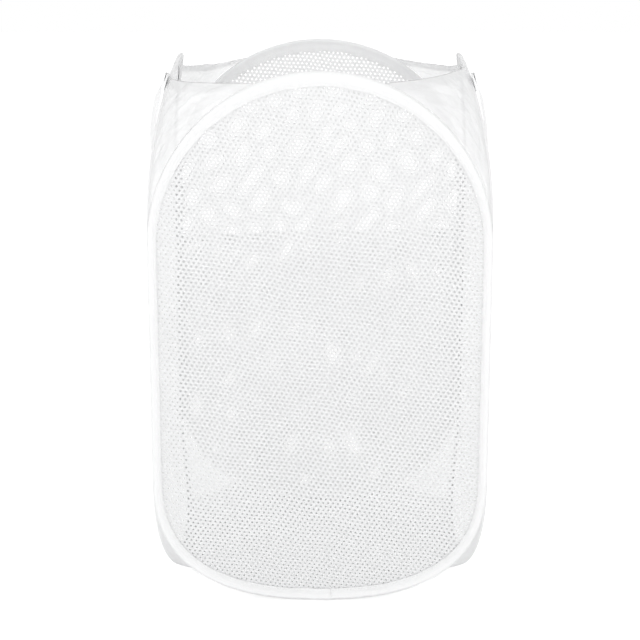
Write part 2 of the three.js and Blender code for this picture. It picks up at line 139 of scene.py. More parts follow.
for lamp_name, place, aim, size, power in (
    ("key_lamp", (-1.3, -2.4, 2.3), (0, 0, 0.3), 1.8, 2),
    ("front_lamp", (0.3, -2.6, 0.95), (0, 0, 0.35), 1.2, 9.5),
    ("low_lamp", (-0.5, -2.3, 0.4), (0, 0, 0.15), 0.7, 6),
    ("fill_lamp", (2.4, -1.2, 1.0), (0, 0, 0.4), 1.6, 8),
    ("side_lamp", (-2.5, -0.9, 0.9), (0, 0, 0.4), 1.6, 8),
    ("top_lamp", (0.2, 0.6, 2.6), (0, 0, 0.2), 1.6, 2),
    ("back_lamp", (0.5, 2.5, 1.2), (0, 0, 0.3), 1.6, 8),
):
    lamp_data = bpy.data.lights.new(lamp_name, "AREA")
    lamp_data.size = size
    lamp_data.energy = power
    lamp = bpy.data.objects.new(lamp_name, lamp_data)
    lamp.location = place
    ray = np.array(aim, float) - np.array(place, float)
    flat_ray = math.hypot(ray[0], ray[1])
    lamp.rotation_euler = (math.atan2(flat_ray, -ray[2]), 0, math.atan2(-ray[0], ray[1]))
    bpy.context.scene.collection.objects.link(lamp)

# Bindings: a white woven tape folded in two round each sprung hoop. The hoop lies in the bead at its
# outer edge, and its two lips, with turned-in edges, are sewn through the mesh near their inner edge.
inner_half = 0.175
side_tuck = 0.0043
hoop_half = 0.1747
mid_bead = 0.0025
top_arc_base = 0.3953
top_arc_height = 0.1747
bottom_arc_top = 0.1474
bottom_arc_height = 0.146
bottom_arc_power = 2.4
top_lean = 0.0225
bottom_lean = 0.023
lean_power = 2.5
bead_width = 0.0054
bead_half_width = 0.0027
bead_half_height = 0.0025
lip_half_height = 0.00095
bead_rise = 0.00155
side_lip_share = 0.4
tape_thickness = 0.00045
stitch_inset = 0.0126
seam_pitch = 0.0031
binding_steps = 640
lap_steps = 6
cloth_gap = 0.0003
white_cloth = (0.92, 0.922, 0.925)
sides = ("front", "right", "back", "left")
tuck_of = {"front": 0.0, "right": -side_tuck, "back": 0.0, "left": side_tuck}
panel_of = {side: f"{side}_panel" for side in sides}


def lean(z):
    """How far a panel leans inwards at height z: a power curve over each end arc, none between them."""
    above = np.clip((z - top_arc_base) / top_arc_height, 0, None)
    below = np.clip((bottom_arc_top - z) / bottom_arc_height, 0, None)
    return top_lean * above**lean_power + bottom_lean * below**lean_power


def turned(points, quarters):
    """Places turned about the upright axis by a number of quarter turns."""
    c, n = round(math.cos(quarters * math.pi / 2)), round(math.sin(quarters * math.pi / 2))
    x, y, z = points[..., 0], points[..., 1], points[..., 2]
    return np.stack([c * x - n * y, n * x + c * y, z], axis=-1)


def on_panel(side, s, z, t):
    """A place on a panel: s across it, z up, t outwards. The front one is turned to the other sides,
    and the left and right ones are tucked in between the front and the back."""
    s, z, t = np.broadcast_arrays(s, z, t)
    places = turned(np.stack([s, lean(z) - inner_half - t, z], axis=-1), sides.index(side))
    return places + np.array([tuck_of[side], 0, 0])


def panel_normal(side, z):
    """Outward direction of a panel at height z, square to its leaning curve, found by a small step."""
    slope = (lean(z + 0.0005) - lean(z - 0.0005)) / 0.001
    out = np.stack([0 * z, -1 + 0 * z, slope], axis=-1)
    return turned(out / np.linalg.norm(out, axis=-1, keepdims=True), sides.index(side))


def hoop_edge(count):
    """The outer edge of a hoop as count equal steps from the bottom middle, and the inward direction
    at each: a superellipse below, two straight sides and a half circle above."""
    angle = np.linspace(0, math.pi / 2, 900)
    low_s = hoop_half * np.cos(angle) ** (2 / bottom_arc_power)
    low_z = bottom_arc_top - bottom_arc_height * np.sin(angle) ** (2 / bottom_arc_power)
    round_angle = np.linspace(0, math.pi, 1600)
    s = np.concatenate([low_s[::-1], hoop_half * np.cos(round_angle), -low_s])
    z = np.concatenate([low_z[::-1], top_arc_base + top_arc_height * np.sin(round_angle), low_z])
    length = np.concatenate([[0], np.cumsum(np.hypot(np.diff(s), np.diff(z)))])
    place = np.linspace(0, length[-1], count, endpoint=False)
    s, z = np.interp(place, length, s), np.interp(place, length, z)
    along_s, along_z = np.roll(s, -1) - np.roll(s, 1), np.roll(z, -1) - np.roll(z, 1)
    size = np.hypot(along_s, along_z)
    return s, z, -along_z / size, along_s / size, place


def rolled(inset, in_z):
    """Where an inset across the tape lies: past the bead only a share of it counts on the upright
    sides, where the tape is rolled round the hoop, and all of it at the top and bottom."""
    share = side_lip_share + (1 - side_lip_share) * in_z**2
    return np.minimum(inset, bead_width) + np.maximum(0, inset - bead_width) * share


def ripples(places, wavelengths, seed):
    """A sum of sine waves of these wavelengths with seeded phases, mostly between -1 and 1."""
    wavelengths = np.asarray(wavelengths, float)
    phases = np.random.default_rng(seed).uniform(0, 2 * math.pi, len(wavelengths))
    waves = np.sin(2 * math.pi * np.asarray(places)[..., None] / wavelengths + phases)
    return waves.sum(axis=-1) / math.sqrt(2 * len(wavelengths))


def grid_quads(rows, columns, ring=False):
    """Quads between neighbouring rows and columns of a grid, closed round the columns if a ring."""
    row = np.arange(rows - 1)[:, None] * columns
    column = np.arange(columns if ring else columns - 1)[None, :]
    here, after = row + column, row + (column + 1) % columns
    return np.stack([here, after, after + columns, here + columns], axis=-1).reshape(-1, 4)


def smooth(low, high, value):
    """0 below low and 1 above high, with a smooth rise between them."""
    share = np.clip((value - low) / (high - low), 0, 1)
    return share * share * (3 - 2 * share)


def running_length(path):
    """The length along a path up to each of its points."""
    return np.concatenate([[0], np.cumsum(np.linalg.norm(np.diff(path, axis=0), axis=1))])


def headings(path):
    """The unit direction in which a path runs at each of its points."""
    step = np.gradient(path, axis=0)
    return step / np.linalg.norm(step, axis=1, keepdims=True)


def woven(name, colour, pitch, rib, bump, roughness, speck=0.03, sheen=0.25, across=1.0, glow=0.0):
    """A woven white finish on the piece's own flat places: two crossed yarn waves, the warp rib times
    stronger than the weft, raise the surface, and a fine and a broad noise vary colour and dirt. A
    share of the light, glow, comes through from behind, as in thin cloth."""
    finish = bpy.data.materials.new(name)
    finish.use_nodes = True
    tree = finish.node_tree
    tree.nodes.clear()
    flat = add(tree, "ShaderNodeUVMap", {"uv_map": "cloth"}).outputs[0]
    body = add(tree, "ShaderNodeTexCoord").outputs["Object"]
    warp = add(tree, "ShaderNodeTexWave", {"wave_type": "BANDS", "bands_direction": "X"}, Vector=flat,
               Scale=0.314 / pitch, Distortion=0.6, Detail=1.0).outputs["Fac"]
    weft = add(tree, "ShaderNodeTexWave", {"wave_type": "BANDS", "bands_direction": "Y"}, Vector=flat,
               Scale=0.314 / pitch * across, Distortion=0.6, Detail=1.0).outputs["Fac"]
    fluff = add(tree, "ShaderNodeTexNoise", Vector=flat, Scale=0.9 / pitch, Detail=3.0).outputs["Fac"]
    broad = add(tree, "ShaderNodeTexNoise", Vector=body, Scale=14.0, Detail=4.0).outputs["Fac"]
    weave = math_node(tree, "MULTIPLY_ADD", warp, rib)
    tree.nodes[-1].inputs[2].default_value = 0.0
    tree.links.new(weft, tree.nodes[-1].inputs[2])
    height = math_node(tree, "ADD", weave, fluff)
    raised = add(tree, "ShaderNodeBump", Strength=bump, Distance=pitch * 0.35, Height=height).outputs[0]
    shade = math_node(tree, "ADD", math_node(tree, "MULTIPLY", fluff, 0.5),
                      math_node(tree, "MULTIPLY", broad, 0.5))
    dark = (*(c * (1 - speck * 2.2) for c in colour), 1)
    light = (*(min(1, c * (1 + speck)) for c in colour), 1)
    tint = add(tree, "ShaderNodeMix", {"data_type": "RGBA"}, _0=shade, _6=dark, _7=light)
    rough = add(tree, "ShaderNodeMapRange", Value=fluff, _3=roughness - 0.08, _4=roughness + 0.08).outputs[0]
    yarn = add(tree, "ShaderNodeBsdfPrincipled", Base_Color=tint.outputs["Result"], Roughness=rough,
               Sheen_Weight=sheen, Sheen_Roughness=0.5, Normal=raised)
    behind = add(tree, "ShaderNodeBsdfTranslucent", Color=tint.outputs["Result"], Normal=raised)
    cloth = add(tree, "ShaderNodeMixShader", {"label": "cloth"}, Fac=glow, _1=yarn.outputs[0],
                _2=behind.outputs[0])
    add(tree, "ShaderNodeOutputMaterial", Surface=cloth.outputs[0])
    return finish


tape_finish = woven("binding_tape", white_cloth, 0.0006, 1.6, 0.5, 0.72)
thread_finish = woven("sewing_thread", (0.92, 0.92, 0.92), 0.0004, 0.3, 0.7, 0.6)


def tape_height(inset, along, seed):
    """Half the thickness of the folded tape at an inset: 2.5 mm over the bead, under 1 mm over the
    lips, thicker where the edge is turned in, drawn in along the stitches and puckered between."""
    lip = (lip_half_height + bead_rise * (1 - smooth(bead_half_width, 0.0072, inset))
           + 0.00016 * smooth(0.0099, 0.0104, inset))
    tightness = 0.6 + 0.4 * ripples(along, [0.0062, 0.0047], seed)
    dimple = 0.00016 * np.exp(-(((inset - stitch_inset) / 0.0007) ** 2)) * tightness
    pucker = 0.00022 * smooth(0.006, 0.011, inset) * ripples(along, [0.0115, 0.0147, 0.0093, 0.021], seed + 1)
    return lip - dimple + pucker


def binding(side, seed):
    """The folded tape's closed section, an outer contour and one tape thickness inside it, carried
    round the hoop; its last 14 mm lie a little proud over its first, where the tape's ends lap."""
    s, z, in_s, in_z, place = hoop_edge(binding_steps)
    at = np.concatenate([np.arange(binding_steps), np.arange(lap_steps)])
    along = place[at]
    proud = smooth(binding_steps - 5, binding_steps - 1, np.arange(binding_steps + lap_steps))[:, None]
    proud = tape_thickness * proud
    lip_inset = np.array([15.0, 14.85, 14.4, 13.7, 13.1, 12.6, 12.1, 11.4, 10.4, 9.9, 8.8, 7.4, 6.2, 5.1, 4.0,
                          3.2]) / 1000
    bead = np.linspace(0, math.pi / 2, 8)[:-1]
    wide = bead_half_width - bead_half_width * np.sin(bead)
    inset = np.concatenate([lip_inset, wide, [0.0], wide[::-1], lip_inset[::-1]])
    half = len(lip_inset) + len(bead)
    face = np.concatenate([np.ones(half), [0], -np.ones(half)])
    waver = 0.0004 * ripples(along, [0.031, 0.047, 0.085], seed + 2)[:, None]
    wide_inset = inset[None, :] + waver * smooth(0.008, 0.015, inset)[None, :]
    tall = tape_height(inset[None, :], along[:, None], seed)
    flat_lip = np.ones(len(lip_inset))
    arc = np.concatenate([flat_lip, np.cos(bead), [0], np.cos(bead)[::-1], flat_lip])
    tall = np.where(arc[None, :] < 1, bead_half_height * arc[None, :], tall)
    outer_inset, outer_t = wide_inset - proud * (inset < bead_half_width), face * (tall + proud)
    thin = tape_thickness * np.where(arc < 1, np.sqrt(1 - arc**2), 0)
    inner_inset = wide_inset + thin[None, :]
    inner_t = face * (tall - tape_thickness * arc[None, :] + proud * 0.9)
    ring_inset = rolled(np.concatenate([outer_inset, inner_inset[:, ::-1]], axis=1), in_z[at][:, None])
    ring_t = np.concatenate([outer_t, inner_t[:, ::-1]], axis=1)
    across_s = s[at][:, None] + in_s[at][:, None] * ring_inset
    across_z = z[at][:, None] + in_z[at][:, None] * ring_inset
    points = on_panel(side, across_s, across_z, mid_bead + ring_t)
    rows, ring = ring_inset.shape
    width = np.concatenate([[0], np.cumsum(np.hypot(np.diff(inset), np.diff(face * tall.mean(axis=0))))])
    flat_width = np.concatenate([width, width[::-1]])
    run = np.arange(rows) * (place[1] - place[0])
    uv = np.stack(np.broadcast_arrays(run[:, None], flat_width[None, :]), axis=-1)
    quads = grid_quads(rows, ring, ring=True)
    pair = np.arange(len(inset) - 1)
    cap = np.stack([pair, ring - 1 - pair, ring - 2 - pair, pair + 1], axis=-1)
    quads = np.concatenate([quads, cap[:, ::-1], cap + (rows - 1) * ring])
    return make_mesh(f"{side}_binding_tape", points, quads, tape_finish, uv)


def stitches(name, path, normal, pitch, finish, thick=0.00019, lift=0.00008):
    """A row of stitches along a path: each is a square-sectioned thread of five rings that rises out
    of the cloth, runs on it and dives in again, at equal pitches of the path's length."""
    length = running_length(path)
    count = int(length[-1] / pitch)
    middles = (np.arange(count) + 0.5) * length[-1] / count
    reach = np.array([-0.43, -0.3, 0.0, 0.3, 0.43]) * pitch
    rise = np.array([-2.2, 0.6, 1.0, 0.6, -2.2]) * lift
    radius = np.array([0.6, 1.0, 1.1, 1.0, 0.6]) * thick
    at = middles[:, None] + reach[None, :]

    def along(values):
        """The path's values at each ring of each stitch."""
        return np.stack([np.interp(at, length, values[:, axis]) for axis in range(3)], axis=-1)

    centre, out = along(path), along(normal)
    ahead = along(headings(path))
    wing = np.cross(ahead, out)
    centre = centre + out * rise[None, :, None]
    turn = np.arange(4) * math.pi / 2 + math.pi / 4
    ring = wing[:, :, None] * np.cos(turn)[:, None] + out[:, :, None] * np.sin(turn)[:, None]
    points = centre[:, :, None] + ring * radius[None, :, None, None]
    tube = grid_quads(5, 4, ring=True)[:, ::-1]
    one = np.concatenate([tube, [[0, 1, 2, 3]], [[19, 18, 17, 16]]])
    quads = (one[None] + (np.arange(count) * 20)[:, None, None]).reshape(-1, 4)
    flat = np.stack(np.broadcast_arrays(at[:, :, None], turn[None, None, :] * 0.0002), axis=-1)
    return make_mesh(name, points, quads, finish, flat)


for number, side in enumerate(sides):
    tape = binding(side, 10 * number)
    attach(tape, panel_of[side])
    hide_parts(f"{side}_binding")
    row_s, row_z, row_in_s, row_in_z, row_place = hoop_edge(1600)
    row_reach = rolled(stitch_inset, row_in_z)
    row_s, row_z = row_s + row_in_s * row_reach, row_z + row_in_z * row_reach
    row_height = tape_height(stitch_inset, row_place, 10 * number)
    row_out = panel_normal(side, row_z)
    for face, word in ((1, "outer"), (-1, "inner")):
        row = on_panel(side, row_s, row_z, mid_bead + face * row_height)
        seam = stitches(f"{side}_binding_{word}_stitches", row, row_out * face, seam_pitch, thread_finish)
        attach(seam, panel_of[side])

# Mesh panels: knitted net, cut to the hoop's outline and held between the lips of its binding. Every
# hole is there: the net's rows run a little askew, because the cloth was not laid square for cutting.
# The back and pocket nets have smaller holes and pass less light than the others for the look from the
# front alone: the real ones are probably alike.
net_open = 0.46
back_net_open = 0.39
pocket_net_open = 0.38
net_crown = 0.00035
net_margin = 0.0092
lattice_reach = 170
panel_middle_z = 0.285


def net_finish_of(name, glow):
    """The net's yarn: fine twisted loops that cross each strand, raised on the piece's own places."""
    return woven(name, white_cloth, 0.0007, 0.9, 0.55, 0.66, speck=0.035, sheen=0.2, across=0.6, glow=glow)


net_finish = net_finish_of("net_yarn", 0.37)
back_net_finish = net_finish_of("back_net_yarn", 0.16)


def depth_inside(s, z):
    """How far a place lies inside the hoop's outer edge: exact by the sides and the half circle, and
    for the superellipse its shortfall divided by its steepness."""
    top = top_arc_height - np.hypot(s, np.maximum(z - top_arc_base, 0))
    across = np.abs(s) / hoop_half + 1e-6
    down = np.maximum(bottom_arc_top - z, 0) / bottom_arc_height + 1e-6
    power = bottom_arc_power
    size = (across**power + down**power) ** (1 / power)
    steep = size ** (1 - power) * np.hypot(across ** (power - 1) / hoop_half,
                                           down ** (power - 1) / bottom_arc_height)
    return np.where(z > bottom_arc_top, top, (1 - size) / steep)


def inside_tape(s, z, inset):
    """Whether a place lies deeper in the outline than an inset of the rolled tape does there."""
    steep = (depth_inside(s, z + 0.0002) - depth_inside(s, z - 0.0002)) / 0.0004
    return depth_inside(s, z) > rolled(inset, np.clip(steep, -1, 1))


def net(name, side, kept, height, row_step, next_row, seed, hole, finish):
    """Hexagonal net on a panel: each lattice place owns two corners, the middles of the circles round
    the two triangles beside it, so six corners ring each hole. Every cell joins its six outer corners,
    raised as the strand's crown, to six lower ones round the hole; a slow warp bends the rows."""
    step_a, step_b = np.array(row_step), np.array(next_row)

    def circle_middle(p, q):
        """The middle of the circle through the origin, p and q."""
        across = 2 * (p[0] * q[1] - p[1] * q[0])
        return np.array([q[1] * (p @ p) - p[1] * (q @ q), p[0] * (q @ q) - q[0] * (p @ p)]) / across

    corner_a, corner_b = circle_middle(step_a, step_b), circle_middle(step_b, step_b - step_a)
    count = lattice_reach
    i, j = np.meshgrid(np.arange(-count, count + 1), np.arange(-count, count + 1), indexing="ij")
    middle = i[..., None] * step_a + j[..., None] * step_b + np.array([0, panel_middle_z])
    near = (np.abs(middle[..., 0]) < 0.19) & (np.abs(middle[..., 1] - panel_middle_z) < 0.3)
    keep = near & kept(middle[..., 0], middle[..., 1])
    keep[0, :] = keep[-1, :] = keep[:, 0] = keep[:, -1] = False
    wide = 2 * count + 1
    row, column = (i + count)[keep], (j + count)[keep]

    def corner(kind, di, dj):
        """The number of one of the two corners of the lattice place di rows and dj columns on."""
        return kind * wide * wide + (row + di) * wide + column + dj

    ring = np.stack([corner(0, 0, 0), corner(1, 0, 0), corner(0, -1, 0), corner(1, 0, -1), corner(0, 0, -1),
                     corner(1, 1, -1)], axis=-1)
    corners = np.concatenate([(middle + corner_a).reshape(-1, 2), (middle + corner_b).reshape(-1, 2)])
    used, ring = np.unique(ring, return_inverse=True)
    ring = ring.reshape(-1, 6)
    outer = corners[used]
    centre = middle[keep]
    spoke = outer[ring] - centre[:, None, :]
    reach = np.linalg.norm(spoke, axis=-1, keepdims=True)
    inner = centre[:, None, :] + spoke * hole * (reach.mean(axis=1, keepdims=True) / reach) ** 0.7
    flat = np.concatenate([outer, inner.reshape(-1, 2)])
    bend_s = 0.0012 * ripples(flat[:, 1] + 0.3 * flat[:, 0], [0.11, 0.173, 0.067], seed)
    bend_z = 0.0012 * ripples(flat[:, 0] - 0.4 * flat[:, 1], [0.095, 0.151, 0.059], seed + 1)
    bend = np.stack([bend_s, bend_z], axis=-1)
    placed = flat + bend * smooth(0.0, 0.03, depth_inside(flat[:, 0], flat[:, 1]))[:, None]
    crown = np.concatenate([np.full(len(outer), net_crown * 0.6), np.full(ring.size, -net_crown * 0.4)])
    t = height(placed[:, 0], placed[:, 1]) + crown
    rim = len(outer) + np.arange(ring.size).reshape(-1, 6)
    quads = np.stack([ring, np.roll(ring, -1, axis=1), np.roll(rim, -1, axis=1), rim], axis=-1).reshape(-1, 4)
    if step_a[0] * step_b[1] - step_a[1] * step_b[0] > 0:
        quads = quads[:, ::-1]
    return make_mesh(name, on_panel(side, placed[:, 0], placed[:, 1], t), quads[:, ::-1], finish, flat)


def slack(s, z, seed):
    """How far the stretched net waves in and out: three slow crossed waves that fade at the binding."""
    fade = smooth(0.014, 0.06, depth_inside(s, z))
    return fade * (0.0011 * ripples(z + 0.35 * s, [0.23, 0.147], seed)
                   + 0.0009 * ripples(s - 0.5 * z, [0.19, 0.121], seed + 1))


net_lattice = {
    "front": ((0.0051, -0.00074), (0.00259, -0.00457)),
    "right": ((0.00515, 0.00031), (0.00246, -0.0044)),
    "back": ((0.00515, 0.00045), (0.00262, -0.0042)),
    "left": ((0.00515, -0.0004), (0.00262, -0.0044)),
}
for number, side in enumerate(sides):
    hole, finish = (back_net_open, back_net_finish) if side == "back" else (net_open, net_finish)
    panel_net = net(f"{side}_net", side, lambda s, z: inside_tape(s, z, net_margin),
                    lambda s, z: mid_bead + slack(s, z, 40 + number), *net_lattice[side], 60 + 5 * number,
                    hole, finish)
    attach(panel_net, panel_of[side])
    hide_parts(f"{side}_mesh_panel")

# Pocket: a second net over the lower part of the back panel, sewn into the binding's seam with it and
# slack towards its open top, where a folded white hem runs level from side to side.
pocket_top = 0.334
pocket_puff = 0.003
pocket_bulge = 0.012
pocket_seat = 0.0029
hem_depth = 0.0075
hem_tilt = -0.0268


def pocket_line(s):
    """Height of the pocket's top edge: nearly level, a little higher at one side, sagging a little."""
    return pocket_top + hem_tilt * s - 0.0012 * (1 - (s / 0.16) ** 2)


def pocket_height(s, z):
    """How far out the pocket stands: on the panel by the binding, puffed inside it, and bulging with
    the square of the height and a parabola across it."""
    across = np.clip(1 - (s / 0.1597) ** 2, 0, None)
    up = np.clip((z - bottom_arc_top) / (pocket_top - bottom_arc_top), 0, None)
    off = smooth(0.0155, 0.034, depth_inside(s, z))
    waves = 0.0014 * ripples(s + 0.3 * z, [0.083, 0.131, 0.061], 91) * smooth(0.15, 0.33, z)
    return pocket_seat + off * (pocket_puff + 0.0017 + pocket_bulge * across * up**2 + waves)


pocket_net = net("back_pocket_net", "back",
                 lambda s, z: inside_tape(s, z, net_margin) & (z < pocket_line(s) - 0.0035),
                 pocket_height, (0.00512, 0.00058), (0.00292, -0.00432), 95, pocket_net_open, back_net_finish)
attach(pocket_net, "back_panel")
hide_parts("back_pocket_mesh")

hem_finish = woven("hem_tape", (0.93, 0.932, 0.935), 0.0006, 1.4, 0.45, 0.72)
hem_columns = 164
hem_across = np.linspace(-0.1672, 0.1672, hem_columns)
hem_down = np.array([-hem_depth, -hem_depth * 0.66, -hem_depth * 0.33, -0.0006, 0.0002, 0.0006])
hem_out = np.array([0.00075, 0.0008, 0.0008, 0.0008, 0.00055, 0.0])
hem_down_ring = np.concatenate([hem_down, hem_down[-2::-1]])
hem_out_ring = np.concatenate([hem_out, -hem_out[-2::-1]])
hem_s = hem_across[:, None]
hem_out_ring = hem_out_ring[None, :] * (1 - 0.45 * smooth(0.158, 0.166, np.abs(hem_s)))
hem_base = pocket_line(hem_s)
hem_t = pocket_height(hem_s, hem_base - 0.003)
hem_outside = on_panel("back", hem_s, hem_base + hem_down_ring[None, :], hem_t + hem_out_ring)
hem_inner_z = hem_base + np.minimum(hem_down_ring, 0.0)[None, :]
hem_inside = on_panel("back", hem_s, hem_inner_z, hem_t + hem_out_ring * 0.45)
hem_points = np.concatenate([hem_outside, hem_inside[:, ::-1]], axis=1)
hem_ring = hem_points.shape[1]
hem_pair = np.arange(len(hem_down_ring) - 1)
hem_cap = np.stack([hem_pair, hem_ring - 1 - hem_pair, hem_ring - 2 - hem_pair, hem_pair + 1], axis=-1)
hem_quads = np.concatenate([grid_quads(hem_columns, hem_ring, ring=True), hem_cap[:, ::-1],
                            hem_cap + (hem_columns - 1) * hem_ring])
hem_flat_z = np.concatenate([hem_down_ring, hem_down_ring[::-1]])[None, :]
hem_flat = np.stack(np.broadcast_arrays(hem_s, hem_flat_z), axis=-1)
hem = make_mesh("back_pocket_hem_tape", hem_points, hem_quads, hem_finish, hem_flat)
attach(hem, "back_panel")
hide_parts("back_pocket_hem")
hem_row = np.linspace(-0.165, 0.165, 700)
hem_row_z = pocket_line(hem_row) - hem_depth * 0.72
hem_row_t = pocket_height(hem_row, pocket_line(hem_row) - 0.003) + 0.00082
hem_seam = stitches("back_pocket_hem_stitches", on_panel("back", hem_row, hem_row_z, hem_row_t),
                    panel_normal("back", hem_row_z), seam_pitch, thread_finish)
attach(hem_seam, "back_panel")

# Corner cloth: thin see-through nylon sewn to the outer edges of two neighbouring hoops. The upper
# pieces end in a level turned hem near the hoops' tops, and the lower ones run down to the base.
corners = {"front_right": (1, 1), "back_right": (1, -1), "back_left": (-1, -1), "front_left": (-1, 1)}


def nylon(name, colour, clear, speck):
    """Thin nylon: a fine cloth of which a share, uneven from place to place, lets one see through."""
    finish = woven(name, colour, 0.00045, 1.0, 0.35, 0.5, speck=speck, sheen=0.1, glow=0.12)
    tree = finish.node_tree
    cloth = next(n for n in tree.nodes if n.label == "cloth")
    end = next(n for n in tree.nodes if n.type == "OUTPUT_MATERIAL")
    through = add(tree, "ShaderNodeBsdfTransparent", Color=(1, 1, 1, 1))
    body = add(tree, "ShaderNodeTexCoord").outputs["Object"]
    cloudy = add(tree, "ShaderNodeTexNoise", Vector=body, Scale=22.0, Detail=5.0).outputs["Fac"]
    share = add(tree, "ShaderNodeMapRange", Value=cloudy, _1=0.3, _2=0.7, _3=clear - 0.08, _4=clear + 0.08)
    seen = add(tree, "ShaderNodeMixShader", Fac=share.outputs[0], _1=cloth.outputs[0], _2=through.outputs[0])
    tree.links.new(seen.outputs[0], end.inputs["Surface"])
    return finish


nylon_finish = nylon("thin_nylon", white_cloth, 0.26, 0.03)
lower_finish = woven("lower_corner_cloth", (0.91, 0.912, 0.915), 0.0006, 1.0, 0.45, 0.7, glow=0.5)


def creases(u, v, count, seed, sharp, tilt):
    """Crossing creases: count seeded lines over the unit square, each a ridge that falls off as the
    rounded distance from its line, some up and some down."""
    draw = np.random.default_rng(seed)
    angle = tilt + draw.normal(0, 0.5, count)
    shift = draw.uniform(0.02, 0.98, count)
    pivot = draw.uniform(0.1, 0.9, count)
    size = draw.uniform(0.3, 1.0, count) * draw.choice([-1, 1], count)
    across = (v[..., None] - shift) * np.cos(angle) + (u[..., None] - pivot) * np.sin(angle)
    return (size * np.exp(-np.sqrt(across**2 + (0.3 * sharp) ** 2) / sharp)).sum(axis=-1) / math.sqrt(count)


def corner_cloth(corner, angles, side_angles, edge, fullness, amplitude, seed, across, columns, sag=0.0):
    """A corner piece: each row is a quadratic curve from a place on the front or back hoop's outer edge
    to its fellow on the side hoop, pulled towards the corner by fullness, or drawn in where that is
    below zero, and waved by creases. The corners are mirror images of the front right one."""
    s, z = edge(angles)
    side_s, side_z = edge(side_angles)
    start = np.stack([s, lean(z) - inner_half - mid_bead, z], axis=-1)
    end = np.stack([inner_half + mid_bead - side_tuck - lean(side_z), -side_s, side_z], axis=-1)
    post = np.stack([0 * z + inner_half, 0 * z - inner_half, (z + side_z) / 2], axis=-1)
    pull = (start + end) / 2 * (1 - fullness) + post * fullness
    v = np.linspace(across[0], across[1], columns)[None, :, None]
    places = start[:, None] * (1 - v) ** 2 + pull[:, None] * 2 * v * (1 - v) + end[:, None] * v**2
    span = np.linalg.norm(end - start, axis=-1)
    u, w = np.meshgrid(np.linspace(0, 1, len(angles)), v[0, :, 0], indexing="ij")
    held = np.minimum(1, 6 * w * (1 - w)) * np.minimum(1, span / 0.09)[:, None]
    wave = creases(u, w, 16, seed, 0.05, 0.15) + 0.9 * creases(u, w, 26, seed + 1, 0.018, 1.1)
    out = np.array([1.0, -1.0, 0.15]) / math.sqrt(2)
    places = places + out * (amplitude * held * wave)[..., None]
    places[..., 2] += amplitude * 0.25 * held * creases(u, w, 9, seed + 2, 0.08, 0.9)
    places[..., 2] -= sag * 4 * w * (1 - w) * smooth(0.6, 1.0, u)
    uv = np.stack([(w - 0.5) * span[:, None], np.broadcast_to(z[:, None], w.shape)], axis=-1)
    return places * np.array([*corners[corner], 1]), uv


def top_edge(angle):
    """The hoop's outer edge over its half circle, a third of a millimetre outside the tape."""
    reach = hoop_half + cloth_gap
    return reach * np.cos(angle), top_arc_base + reach * np.sin(angle)


def bottom_edge(angle):
    """The hoop's outer edge over its lower superellipse, from the straight side at 0 downwards."""
    s = hoop_half * np.cos(angle) ** (2 / bottom_arc_power)
    z = bottom_arc_top - bottom_arc_height * np.sin(angle) ** (2 / bottom_arc_power)
    across = (s / hoop_half) ** (bottom_arc_power - 1) / hoop_half
    down = ((bottom_arc_top - z) / bottom_arc_height) ** (bottom_arc_power - 1) / bottom_arc_height
    size = np.hypot(across, down)
    return s + cloth_gap * across / size, z - cloth_gap * down / size


def corner_blend(corner):
    """The two panels beside a corner piece, and a place a little along each of them."""
    near = np.array([[0.145, -0.1775, 0.3], [0.1732, -0.145, 0.3]]) * np.array([*corners[corner], 1])
    first, second = corner.split("_")
    return panel_of[first], panel_of[second], tuple(near[0]), tuple(near[1])


upper_end = {"front_right": (68.5, 72.5), "back_right": (60.5, 61), "back_left": (60.5, 61),
             "front_left": (68.5, 65)}
rim_sag = {"front_right": 0.0, "back_right": 0.006, "back_left": 0.006, "front_left": 0.0}
lower_angles = np.linspace(0.02, 1.0, 60)
lower_fullness = -0.3
lower_crumple = 0.0016
gusset_seed = {"front_right": 300, "back_right": 310, "back_left": 320, "front_left": 330}
upper_fullness = {"front_right": 0.36, "back_right": 0.5, "back_left": 0.5, "front_left": 0.62}
upper_crumple = {"front_right": 0.0105, "back_right": 0.008, "back_left": 0.008, "front_left": 0.0075}
for corner, seed in gusset_seed.items():
    flip = corners[corner]
    inside_out = slice(None, None, flip[0] * flip[1])
    halves = ((0.0, 0.5), (0.5, 1.0)) if corner == "back_right" else ((0.0, 1.0),)
    for part, across in enumerate(halves):
        columns = 40 if len(halves) == 2 else 79
        ending = "" if len(halves) == 1 else ("_a", "_b")[part]
        upper_angles = np.radians(np.linspace(5, upper_end[corner], 90))
        upper, upper_flat = corner_cloth(corner, upper_angles[:, 0], upper_angles[:, 1], top_edge,
                                         upper_fullness[corner], upper_crumple[corner], seed, across, columns,
                                         rim_sag[corner])
        fold = upper[[-2, -6, -10]] + np.array([-0.0004 * flip[0], 0.0004 * flip[1], 0])
        fold_flat = upper_flat[[-2, -6, -10]] + np.array([0, 0.02])
        upper = np.concatenate([upper, fold])
        upper_flat = np.concatenate([upper_flat, fold_flat])
        upper_quads = grid_quads(len(upper), columns)[:, inside_out]
        upper_piece = make_mesh(f"{corner}_upper_nylon{ending}", upper, upper_quads, nylon_finish, upper_flat)
        lower, lower_flat = corner_cloth(corner, lower_angles, lower_angles, bottom_edge, lower_fullness,
                                         lower_crumple, seed + 5, across, columns)
        lower_quads = grid_quads(len(lower), columns)[:, ::-1][:, inside_out]
        lower_piece = make_mesh(f"{corner}_lower_cloth{ending}", lower, lower_quads, lower_finish, lower_flat)
        for piece, node in ((upper_piece, f"{corner}_upper_gusset"), (lower_piece, f"{corner}_lower_gusset")):
            first, second, start, end = corner_blend(corner)
            if len(halves) == 2:
                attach(piece, (first, second)[part])
            else:
                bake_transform(piece)
            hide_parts(node)
